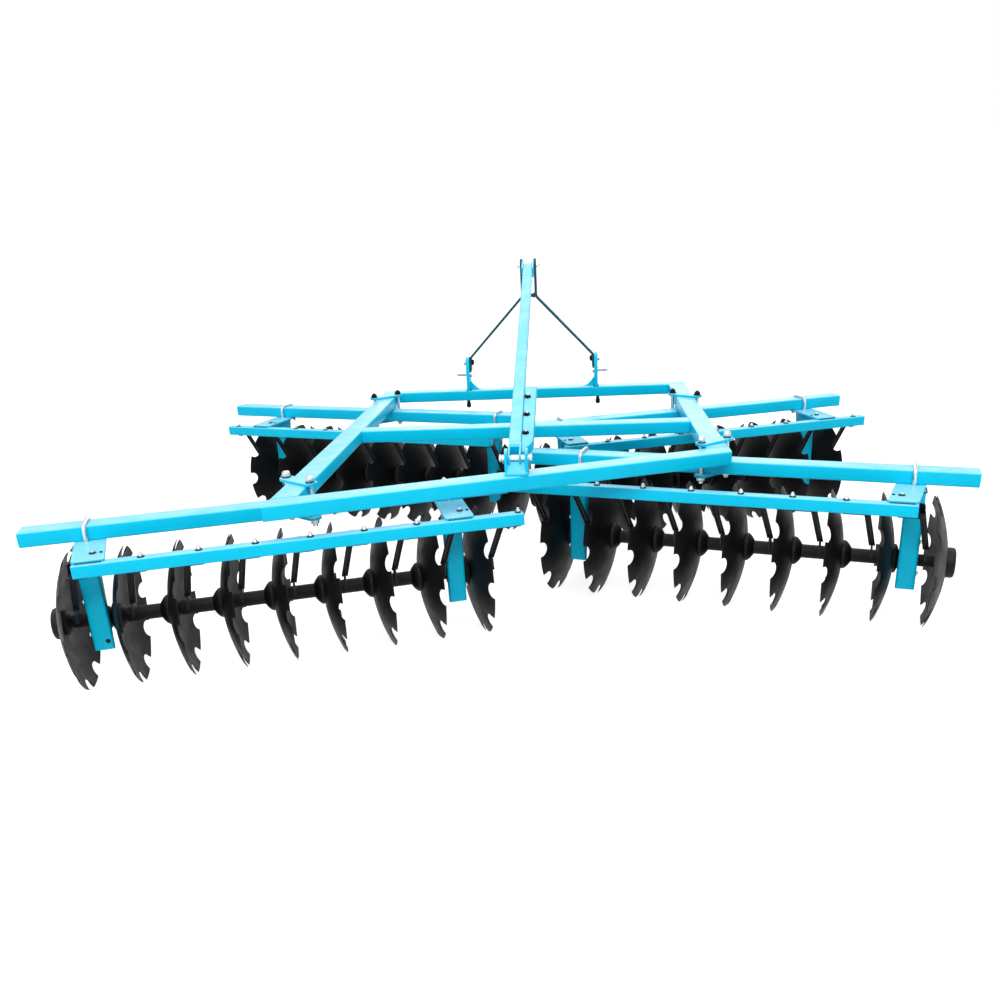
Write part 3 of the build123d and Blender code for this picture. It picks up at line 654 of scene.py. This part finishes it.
palerBolts, darkBolts, darkWashers, weldsWithPaintedShade = [], [], [], []
for name, gang in gangs.items():
    row, place, shapes = gang["row"], frames[name], []
    half, back, top = hanger["legHalf"], -size["legBack"], scraperTop - 1
    plateFront, plateBack = hanger["plateFront"], hanger["plateBack"]
    for u in hanger["legs"][row]:
        corners = [(plateMiddle(row, u, y) + end * hanger["plateWidth"] / 2, y)
                   for y, end in ((plateFront, -1), (plateFront, 1), (plateBack, 1), (plateBack, -1))]
        plate = slab(rounded(corners, hanger["plateCorner"]), scraperTop, beamBottom)
        shapes += [plate, legShape(u)]
        left, right, weldFront = u - half - 1, u + half + 1, hanger["weldFront"]
        # the beads are real welds, but their dark paint is painted shade: the shade line round the leg's top and
        # the shadow line along the plate's rear edge
        weldsWithPaintedShade.append(moved(weld([(left, weldFront, top), (left, back - 1, top), (right, back - 1, top),
                                 (right, weldFront, top)]), place))
        weldEnds = (corners[3][0] + hanger["weldInset"], corners[2][0] - hanger["weldInset"])
        weldsWithPaintedShade.append(moved(weld([(x, plateBack, top + 3) for x in weldEnds]), place))
        boltY = hanger["boltY"]
        boltU = plateMiddle(row, u, boltY) + hanger["boltShift"]
        smallU = boltU - hanger["smallBoltAway"]
        darkWashers.append(moved(washer(*hanger["boltWasher"]), place @ at(boltU, boltY, beamBottom)))
        palerBolts.append(boltAt(hanger["bolt"], place @ at(boltU, boltY, beamBottom + 3)))
        darkBolts.append(boltAt(hanger["smallBolt"], place @ at(smallU, boltY, beamBottom)))
        outer = 1 if u > 0 else -1
        for z in hanger["flangeBoltZ"]:
            spot = facing((u + outer * half, (flangeFront(z) + back) / 2, z), (outer, 0, 0), (0, 0, 1))
            palerBolts.append(boltAt(hanger["flangeBolt"], place @ spot))
        if name == "rear_left" and u > 0:
            spot = facing((u - hanger["footBoltIn"], back, hanger["footBoltZ"]), (0, -1, 0))
            darkBolts.append(boltAt(hanger["footBolt"], place @ spot))
    replacement("hangers_" + name, [moved(shape, place) for shape in shapes], bevel=1.2)

# U-bolts over the gang beams, their nuts under the plates
uBolt = {"radius": 8.5, "reach": 59, "crown": 684, "tail": 575, "bend": 26,
         "outerShift": {1: -10, -1: 0}, "nut": (15, 13, 16.5, 3)}
reach, crown, tail = uBolt["reach"], uBolt["crown"], uBolt["tail"]
bolts = []
for name, gang in gangs.items():
    for u in hanger["legs"][gang["row"]]:
        middle = u + (uBolt["outerShift"][gang["row"]] if u > 0 else 0)
        path = ((-reach, tail), (-reach, crown), (reach, crown), (reach, tail))
        line = bentLine([(middle, y, z) for y, z in path], uBolt["bend"], 8)
        bolts.append(moved(rod(line, uBolt["radius"], 16), frames[name]))
        for y in (-reach, reach):
            spot = facing((middle, y, scraperTop), (0, 0, -1))
            bolts.append(boltAt(uBolt["nut"], frames[name] @ spot))
replacement("hanger_u_bolts", bolts)

# Scrapers: a bar bolted under the scraper beam, a grooved arm down from it and a blade at the dish.
# The rear right beam's bolts sit further in, and those within covered of a hanger plate are hidden.
scraper = {
    "boltLead": {1: 120, -1: 45}, "armLead": {1: 74, -1: 45}, "footLead": {1: 30, -1: 16}, "dish": 60,
    "armHalf": 12.5, "armDepth": 8, "armCorner": 3, "grooveHalf": 6.5, "groove": 7, "grooveCorner": 1,
    "top": (-258, 599), "foot": (-140, 372), "barBack": -296, "barFront": -233, "barThickness": 8,
    "barCorner": 11, "blade": [(-45, -25), (45, -25), (27, 25), (-27, 25)], "bladeCorners": [5, 5, 12, 12],
    "bladeHalf": 4, "bladeZ": 355, "washer": (14, 3), "bolt": (9.5, 10, 0, 0, 8, 5.5), "rightBolts": 25,
    "covered": 12,
}


def armShape(topX, footX):
    # both end rings are the level section of the arm, a strip with a groove in its rear face
    half, depth, groove = scraper["armHalf"], scraper["armDepth"], scraper["groove"]
    inner, wide, fine = scraper["grooveHalf"], scraper["armCorner"], scraper["grooveCorner"]
    outline = [(-half, depth), (-half, -depth), (-inner, -depth), (-inner, groove - depth),
               (inner, groove - depth), (inner, -depth), (half, -depth), (half, depth)]
    section = rounded(outline, [wide, wide, fine, fine, fine, fine, wide, wide])
    ends = ((topX, scraper["top"]), (footX, scraper["foot"]))
    return lofted([(section + (x, y), z) for x, (y, z) in ends])


footY, footZ = scraper["foot"]
topZ = scraper["top"][1]
drop = (topZ - scraperBottom) / (topZ - footZ)
bladeOutline = rounded(scraper["blade"], scraper["bladeCorners"])
bladeShape = slab(bladeOutline, -scraper["bladeHalf"], scraper["bladeHalf"])
for name, gang in gangs.items():
    row, place, shapes = gang["row"], frames[name], []
    plates = [plateMiddle(row, u, -size["scraperBack"]) for u in hanger["legs"][row]]
    shift = scraper["rightBolts"] if name == "rear_right" else 0
    for number in range(size["discCount"]):
        dishX = firstHub[row] - row * (size["discPitch"] * number + scraper["dish"])
        boltX = dishX - row * scraper["boltLead"][row] - shift
        topX = dishX - row * scraper["armLead"][row]
        footX = dishX - row * scraper["footLead"][row]
        near, far = sorted((boltX, topX + (footX - topX) * drop))
        bar = rounded(box(near - scraper["armHalf"], far + scraper["armHalf"], scraper["barBack"],
                          scraper["barFront"]), scraper["barCorner"])
        shapes.append(slab(bar, scraperBottom - scraper["barThickness"], scraperBottom))
        shapes.append(armShape(topX, footX))
        shapes.append(moved(bladeShape, at(footX, footY, scraper["bladeZ"]) @ drawnAlongX))
        if any(abs(boltX - middle) < hanger["plateWidth"] / 2 + scraper["covered"] for middle in plates):
            continue  # the plate covers this bolt
        spots = [place @ at(boltX, -size["scraperBack"], scraperTop + up) for up in (0, 3)]
        darkWashers.append(moved(washer(*scraper["washer"]), spots[0]))
        palerBolts.append(boltAt(scraper["bolt"], spots[1]))
    replacement("scraper_blades_" + name, [moved(shape, place) for shape in shapes])
extra("bolt_heads", palerBolts, "zinc")
extra("plate_bolts", darkBolts, "cast")
extra("bolt_washers", darkWashers, "black_paint")
# the hanger weld beads are dark: painted shade along the joints
extra("weld_beads_painted_shade", weldsWithPaintedShade, "dark_paint")
print("stage: hangers and scrapers")

# Bearings: a cast ring on the shaft, its foot against the leg's web, and a grease nipple
bearing = {
    "ring": [(-29, 27), (-29, 42), (-26, 45), (-15, 48), (-12, 55), (-10, 56), (10, 56), (12, 55),
             (15, 48), (26, 45), (29, 42), (29, 27)],
    "foot": (50, 86), "footCorner": 9, "footReach": 50, "legGap": 88, "nipple": (5, 9), "nippleZ": 55,
}
bearingFoot = slab(rounded(rectangle(*bearing["foot"]), bearing["footCorner"]), 0, bearing["footReach"])
bearingShape = joined([
    turned(bearing["ring"], 40),
    moved(bearingFoot, facing((0, -bearing["legGap"], 0), (0, 1, 0))),
    boltAt(bearing["nipple"], at(0, 0, bearing["nippleZ"])),
])
replacement("bearing_housings", [
    moved(bearingShape, frames[name] @ at(u, -size["axleBack"], size["axleZ"]))
    for name, gang in gangs.items() for u in hanger["legs"][gang["row"]]
], bevel=1.5)

# Gang clamps: a plate above and below the crossing, a pad between the tubes and two long bolts. The
# rear bolts have domed heads on top, the front ones nuts.
clamp = {
    "length": 197.7, "width": 60, "thickness": 12, "end": 26, "pad": 100, "padCorner": 5, "lean": 36.2,
    "boltPlace": 76.8, "shank": 10, "shankAbove": 6, "shankBelow": 28, "lowerNut": (18, 15, 20, 3),
    "rearWasher": (19, 3), "rearHead": (16.5, 20), "frontNut": (18, 15, 21, 3, 8, 9),
    "dome": [(0, 15), (2.5, 13), (4.5, 9), (5.5, 4), (5.8, 1)], "domeUp": 22,
}
clampTop = frameTop + clamp["thickness"]
clampLow = beamBottom - clamp["thickness"]
clampOutline = rounded(rectangle(clamp["length"], clamp["width"]), clamp["end"], 6)
shank = rod([(0, 0, clampLow - clamp["shankBelow"]), (0, 0, frameTop + clamp["shankAbove"])],
            clamp["shank"], 16)
dome = moved(turned(clamp["dome"], 20), upright)
plates, brightBolts, blackBolts = [], [], []
for name, gang in gangs.items():
    crossing = frames[name].translation
    place = at(crossing.x, crossing.y, 0) @ mirrored(gang["side"])
    leaning = place @ Matrix.Rotation(radians(gang["row"] * clamp["lean"]), 4, "Z")
    pad = rounded(rectangle(clamp["pad"], clamp["pad"]), clamp["padCorner"])
    plates += [moved(slab(clampOutline, frameTop, clampTop), leaning),
               moved(slab(clampOutline, clampLow, beamBottom), leaning),
               moved(slab(pad, size["beamTop"], frameUnder), place)]
    for end in (-1, 1):
        spot = leaning @ at(end * clamp["boltPlace"], 0, 0)
        below = spot @ facing((0, 0, clampLow), (0, 0, -1))
        brightBolts += [moved(shank, spot), boltAt(clamp["lowerNut"], below)]
        if gang["row"] > 0:
            blackBolts.append(moved(washer(*clamp["rearWasher"]), spot @ at(0, 0, clampTop)))
            brightBolts += [boltAt(clamp["rearHead"], spot @ at(0, 0, clampTop + 3)),
                            moved(dome, spot @ at(0, 0, clampTop + clamp["domeUp"]))]
        else:
            blackBolts.append(boltAt(clamp["frontNut"], spot @ at(0, 0, clampTop)))
replacement("gang_clamp_plates", plates, bevel=1.6)
replacement("gang_clamp_bolts", brightBolts)
extra("dark_clamp_nuts", blackBolts, "cast")
print("stage: bearings and clamps")

# Hitch: upright plates with gussets, and flat braces bent in to the top pin
hitch = {
    "inner": 376, "outer": 396, "shoulder": 860, "top": 942, "half": 50, "topHalf": 32,
    "plateCorners": [1, 1, 34, 24, 24, 34], "gusset": (66, 56), "gussetBow": 1.7, "gussetThickness": 12,
    "weldRadius": 4.2, "pin": [(0, 1), (0, 12), (20, 12), (20, 14), (76, 14), (82, 9), (82, 1)],
    "pinZ": 840, "pinNut": (22, 12), "boltZ": 908, "outerHead": (18, 11, 21, 4),
    "innerNut": (18, 10, 21, 3, 5, 9), "innerNutIn": 12, "studX": 396, "studBottom": 636,
    "studRadius": 10, "studNut": (14, 25), "studNutUp": 27,
}
# a tip's pairs are a distance below the brace's end and the width there
brace = {
    "corners": [(370, 863), (370, 932), (40, 1278), (40, 1486)], "width": 60, "thickness": 14, "bend": 14,
    "tip": ((34, 60), (20, 50), (8, 34), (2, 22), (0, 14)), "edge": 1.5, "spacerZ": 1282,
    "spacer": [(-34, 1), (-34, 14), (-22, 14), (-22, 10), (22, 10), (22, 14), (34, 14), (34, 1)],
}
topPinLook = {
    "z": 1450, "pin": [(-54, 1), (-54, 10), (-51, 12.5), (51, 12.5), (54, 10), (54, 1)],
    "hook": [(48, 0, -6), (56, 0, -10), (61, 0, -10), (64, 0, -7), (65, 0, -1), (65, 0, 5)],
    "hookRadius": 4.5,
}
hitchY = size["hitchY"]


def strip(path, widths, thickness, edge):
    # ring i lies across the path at point i: half the width along Y, half the thickness along the
    # path's normal (-dz, dx) in X and Z, with its four long edges taken off
    line = np.array(path, float)
    ahead = np.gradient(line, axis=0)
    ahead /= np.linalg.norm(ahead, axis=1, keepdims=True)
    normal = np.column_stack([-ahead[:, 1], ahead[:, 0]])
    half = np.array(widths, float)[:, None] / 2
    less = half - edge
    y = np.concatenate([-half, -half, -less, less, half, half, less, -less], axis=1)
    through = np.array([-1, 1, 1, 1, 1, -1, -1, -1]) * thickness / 2
    through = through + np.array([1, -1, 0, 0, -1, 1, 0, 0]) * edge
    x = line[:, :1] + normal[:, :1] * through
    z = line[:, 1:] + normal[:, 1:] * through
    return skin(np.stack([x, y, z], axis=-1))


inner, outer, half, topHalf = (hitch[key] for key in ("inner", "outer", "half", "topHalf"))
shoulder, plateTop = hitch["shoulder"], hitch["top"]
plateOutline = rounded([(-half, frameTop), (half, frameTop), (half, shoulder), (topHalf, plateTop),
                        (-topHalf, plateTop), (-half, shoulder)], hitch["plateCorners"], 6)
# the gusset's edge is x = inner - reach (1 - s), z = frameTop + rise s^bow
gussetReach, gussetRise = hitch["gusset"]
gussetEdge = [(inner - gussetReach * (1 - s), frameTop + gussetRise * s ** hitch["gussetBow"])
              for s in np.linspace(0, 1, 9)]
halfGusset = hitch["gussetThickness"] / 2
gusset = slab([(inner, frameTop)] + gussetEdge, -halfGusset, halfGusset)
braceCorners = [(x, 0, z) for x, z in brace["corners"]]
bracePath = [point[[0, 2]] for point in bentLine(braceCorners, brace["bend"], 7)]
braceEnd = bracePath.pop()
braceWidths = [brace["width"]] * len(bracePath) + [width for below, width in brace["tip"]]
bracePath += [braceEnd - (0, below) for below, width in brace["tip"]]
plates, braces, pins, bolts, innerBolts, hitchWelds = [], [], [], [], [], []
for side in (-1, 1):
    place = at(0, hitchY, 0) @ mirrored(side)
    plates += [moved(slab(plateOutline, inner, outer), place @ drawnAlongX),
               moved(gusset, place @ drawnAlongY)]
    for x in (inner - 1, outer + 1):
        bead = weld([(x, 3 - half, frameTop + 1), (x, half - 3, frameTop + 1)], hitch["weldRadius"])
        hitchWelds.append(moved(bead, place))
    braces.append(moved(strip(bracePath, braceWidths, brace["thickness"], brace["edge"]), place))
    pinNut = boltAt(hitch["pinNut"], facing((inner, 0, hitch["pinZ"]), (-1, 0, 0)))
    pins += [moved(turned(hitch["pin"], 32), place @ at(inner, 0, hitch["pinZ"])), moved(pinNut, place)]
    outerSpot = facing((outer, 0, hitch["boltZ"]), (1, 0, 0))
    bolts.append(boltAt(hitch["outerHead"], place @ outerSpot))
    innerSpot = facing((inner - hitch["innerNutIn"], 0, hitch["boltZ"]), (-1, 0, 0))
    innerBolts.append(boltAt(hitch["innerNut"], place @ innerSpot))
    stud = rod([(0, 0, hitch["studBottom"]), (0, 0, frameUnder + 1)], hitch["studRadius"], 14)
    innerBolts.append(moved(stud, place @ at(hitch["studX"], 0, 0)))
    nutTop = hitch["studBottom"] + hitch["studNutUp"]
    studSpot = facing((hitch["studX"], 0, nutTop), (0, 0, -1))
    innerBolts.append(boltAt(hitch["studNut"], place @ studSpot))
spacer = moved(turned(brace["spacer"], 20), at(0, hitchY, brace["spacerZ"]))
replacement("hitch_plates", plates, bevel=1.6)
replacement("hitch_braces", braces)
replacement("lower_link_pins", pins)
replacement("hitch_bolts", bolts)
extra("inner_hitch_nuts", innerBolts, "cast")
extra("hitch_welds", hitchWelds, "dark_paint")
extra("brace_spacer", [spacer], "dark_paint", bevel=1)
topPin = [turned(topPinLook["pin"], 28)]
for side in (-1, 1):
    topPin.append(rod([(side * x, y, z) for x, y, z in topPinLook["hook"]], topPinLook["hookRadius"], 10))
replacement("top_link_pin", [moved(shape, at(0, hitchY, topPinLook["z"])) for shape in topPin])
print("stage: hitch")

# Stay: a square tube from the top pin back to its foot, forked round the foot pin, and the lower bar,
# whose stations are how far along it is, its left and right sides and half its height
stay = {
    "foot": (12, -853.2, 811), "top": (0, 1160.8, 1450), "tube": 52, "corner": 8, "start": 58,
    "endGap": 44, "forkHalf": 26, "forkRun": 20, "forkCorners": [25, 1, 1, 25], "forkWall": 8,
    "forkProud": 0.5, "endPlate": (38, 46), "endPlateRun": (-9, 5), "cheek": (24, 34),
    "cheekRun": (-120, 30), "cheekHalf": 30, "cheekCorners": [8, 27, 27, 8], "barCorner": 5, "barHalf": 22,
    "bar": ((20, 27, 38, 11), (42, 27, 41, 17), (72, 26.5, 66, 21), (100, 26.5, 74, 22),
            (560, 26.5, 79, 22)),
    "boltsAlong": (154, 308, 465), "boltX": 41, "head": (12, 10, 15, 2), "glintPiece": (7, 2.5),
    "glintPiecePlace": (2, 2, 12), "nut": (12, 9, 0, 0, 3, 6),
}
foot, top = Vector(stay["foot"]), Vector(stay["top"])
run = top - foot
along = run.normalized()
side = Vector((along.y, -along.x, 0)).normalized()
stayFrame = at(*foot) @ Matrix((side, side.cross(along), along)).transposed().to_4x4()
pitchUp = Matrix.Rotation(atan2(run.z, run.y), 4, "X")
start, halfStay, halfFork = stay["start"], stay["tube"] / 2, stay["forkHalf"]
section = rounded(rectangle(stay["tube"], stay["tube"]), stay["corner"])
shapes = [moved(slab(section, start, run.length - stay["endGap"]), stayFrame)]
forkEnd = start + stay["forkRun"]
forkOutline = rounded(box(-halfFork, forkEnd, -halfFork, halfFork), stay["forkCorners"], 8)
forkSide = halfStay + stay["forkProud"]
for left in (-forkSide, forkSide - stay["forkWall"]):
    shapes.append(moved(slab(forkOutline, left + foot.x, left + foot.x + stay["forkWall"]),
                        at(0, foot.y, foot.z) @ pitchUp @ drawnAlongX))
plateStart, plateEnd = stay["endPlateRun"]
shapes.append(moved(slab(rectangle(*stay["endPlate"]), start + plateStart, start + plateEnd), stayFrame))
low, high, halfCheek = *stay["cheekRun"], stay["cheekHalf"]
cheekOutline = rounded(box(low, high, -halfCheek, halfCheek), stay["cheekCorners"], 8)
for side in (-1, 1):
    shapes.append(moved(slab(cheekOutline, *stay["cheek"]),
                        at(0, top.y, top.z) @ mirrored(side) @ pitchUp @ drawnAlongX))
replacement("stay_tube", shapes, bevel=1.2)
lowerBar = lofted([
    (rounded(box(left, right, -barHalf, barHalf), stay["barCorner"]), place)
    for place, left, right, barHalf in stay["bar"]
])
replacement("stay_lower_bar", [moved(lowerBar, stayFrame)], bevel=1)
heads, nuts, glintPieces = [], [], []
for place in stay["boltsAlong"]:
    above, below = (stayFrame @ facing((stay["boltX"], way * stay["barHalf"], place), (0, way, 0))
                    for way in (1, -1))
    heads.append(boltAt(stay["head"], above))
    # a small zinc piece on each dark head is a painted highlight: it stands in for the glint on the head's top
    glintPieces.append(boltAt(stay["glintPiece"], above @ at(*stay["glintPiecePlace"])))
    nuts.append(boltAt(stay["nut"], below))
replacement("stay_bolts", nuts)
extra("lower_bar_heads", heads, "cast")
# the zinc pieces on the heads are painted highlights
extra("lower_bar_head_glints", glintPieces, "zinc")

# Foot bracket and its pin
bracket = {
    "left": -28, "right": 66, "base": 12, "baseHalf": 42, "baseCorner": 6, "ear": 12, "earHalf": 32,
    "earBottom": 747, "earTop": 848, "earCorners": [1, 1, 30, 30],
    "rearPlate": [(-44, 752), (-38, 748), (2, 792), (-4, 796)], "rearPlateInset": 10,
    "pin": [(-51, 1), (-51, 11), (-48, 15), (-42, 15), (-40, 12.5), (70, 12.5), (72, 15), (80, 15),
            (83, 11), (83, 1)],
}
left, right, half, inset = (bracket[key] for key in ("left", "right", "baseHalf", "rearPlateInset"))
base = rounded(box(left, right, foot.y - half, foot.y + half), bracket["baseCorner"])
ear = rounded(box(-bracket["earHalf"], bracket["earHalf"], bracket["earBottom"], bracket["earTop"]),
              bracket["earCorners"], 8)
shapes = [slab(base, frameTop, frameTop + bracket["base"])]
for outline, low, high in (
    (ear, left, left + bracket["ear"]), (ear, right - bracket["ear"], right),
    (bracket["rearPlate"], left + inset, right - inset),
):
    shapes.append(moved(slab(outline, low, high), at(0, foot.y, 0) @ drawnAlongX))
replacement("stay_bracket", shapes, bevel=1.4)
replacement("stay_foot_pin", [moved(turned(bracket["pin"], 28), at(0, foot.y, foot.z))])
print("stage: stay")

# Stage, light and camera, in metres
floorLook = {"Base Color": (0.55, 0.55, 0.55, 1), "Roughness": 0.9, "Specular IOR Level": 0,
             "Emission Color": (1, 1, 1, 1)}
floorCorners = [(-40, -40, 0), (40, -40, 0), (40, 60, 0), (-40, 60, 0)]
floorGlow, skyGlow = (0, 0.8), (0.72, 1.0)


def seenDirectly(tree, low, high):
    # low for light that falls on something, high for what is seen directly, mirrored or through glass
    rays = newNode(tree, "LightPath")
    seen = rays.outputs["Is Camera Ray"]
    for ray in ("Is Glossy Ray", "Is Transmission Ray"):
        most = newNode(tree, "Math", operation="MAXIMUM")
        tree.links.new(seen, most.inputs[0])
        tree.links.new(rays.outputs[ray], most.inputs[1])
        seen = most.outputs[0]
    level = newNode(tree, "MapRange", {"To Min": low, "To Max": high})
    tree.links.new(seen, level.inputs["Value"])
    return level.outputs["Result"]


floorMaterial = bpy.data.materials.new("paleFloor")
floorMaterial.use_nodes = True
floorTree = floorMaterial.node_tree
floorShader = floorTree.nodes["Principled BSDF"]
for socket, value in floorLook.items():
    floorShader.inputs[socket].default_value = value
floorTree.links.new(seenDirectly(floorTree, *floorGlow), floorShader.inputs["Emission Strength"])
floorMesh = bpy.data.meshes.new("floor")
floorMesh.from_pydata(floorCorners, [], [(0, 1, 2, 3)])
floorMesh.materials.append(floorMaterial)
floor = newObject("floor", floorMesh)

world = bpy.data.worlds.new("studio")
world.use_nodes = True
bpy.context.scene.world = world
background = world.node_tree.nodes["Background"]
background.inputs["Color"].default_value = (1, 1, 1, 1)
world.node_tree.links.new(seenDirectly(world.node_tree, *skyGlow), background.inputs["Strength"])

for lightName, place, target, energy, width in (
    ("overhead", (0, 0.5, 5.5), (0, 0, 0.5), 40, 6.0),
    ("overCamera", (0.5, -6, 6), (0, 0, 0.5), 300, 4.0),
    ("behindMast", (0.5, 9, 4.2), (0, 0, 0.6), 200, 7.0),
    ("nearLeft", (-4, -6, 3.5), (0, 0, 0.4), 50, 3.0),
):
    light = bpy.data.lights.new(lightName, "AREA")
    light.energy = energy
    light.size = width
    lamp = newObject(lightName, light)
    lamp.location = place
    lamp.rotation_euler = (Vector(place) - Vector(target)).to_track_quat("Z", "Y").to_euler()

view = {"place": (0.2572, -4.3738, 1.6887), "yaw": -0.080, "pitch": -0.378, "roll": -0.048, "lens": 32.4,
        "sensor": 36, "shiftX": -0.01123, "shiftY": 0.07959, "farthest": 200}
camera = bpy.data.cameras.new("camera")
camera.lens = view["lens"]
camera.sensor_width = view["sensor"]
camera.shift_x = view["shiftX"]
camera.shift_y = view["shiftY"]
camera.clip_end = view["farthest"]
yaw, pitchDown, roll = view["yaw"], view["pitch"], view["roll"]
ahead = Vector((sin(yaw) * cos(pitchDown), cos(yaw) * cos(pitchDown), sin(pitchDown)))
right = Vector((cos(yaw), -sin(yaw), 0))
above = right.cross(ahead)
rolledRight = right * cos(roll) + above * sin(roll)
rolledUp = above * cos(roll) - right * sin(roll)
cameraObject = newObject("camera", camera)
turn = Matrix((rolledRight, rolledUp, -ahead)).transposed().to_4x4()
cameraObject.matrix_world = at(*view["place"]) @ turn
bpy.context.scene.camera = cameraObject
bpy.context.scene.view_settings.view_transform = "Standard"

print("stage: camera and light")
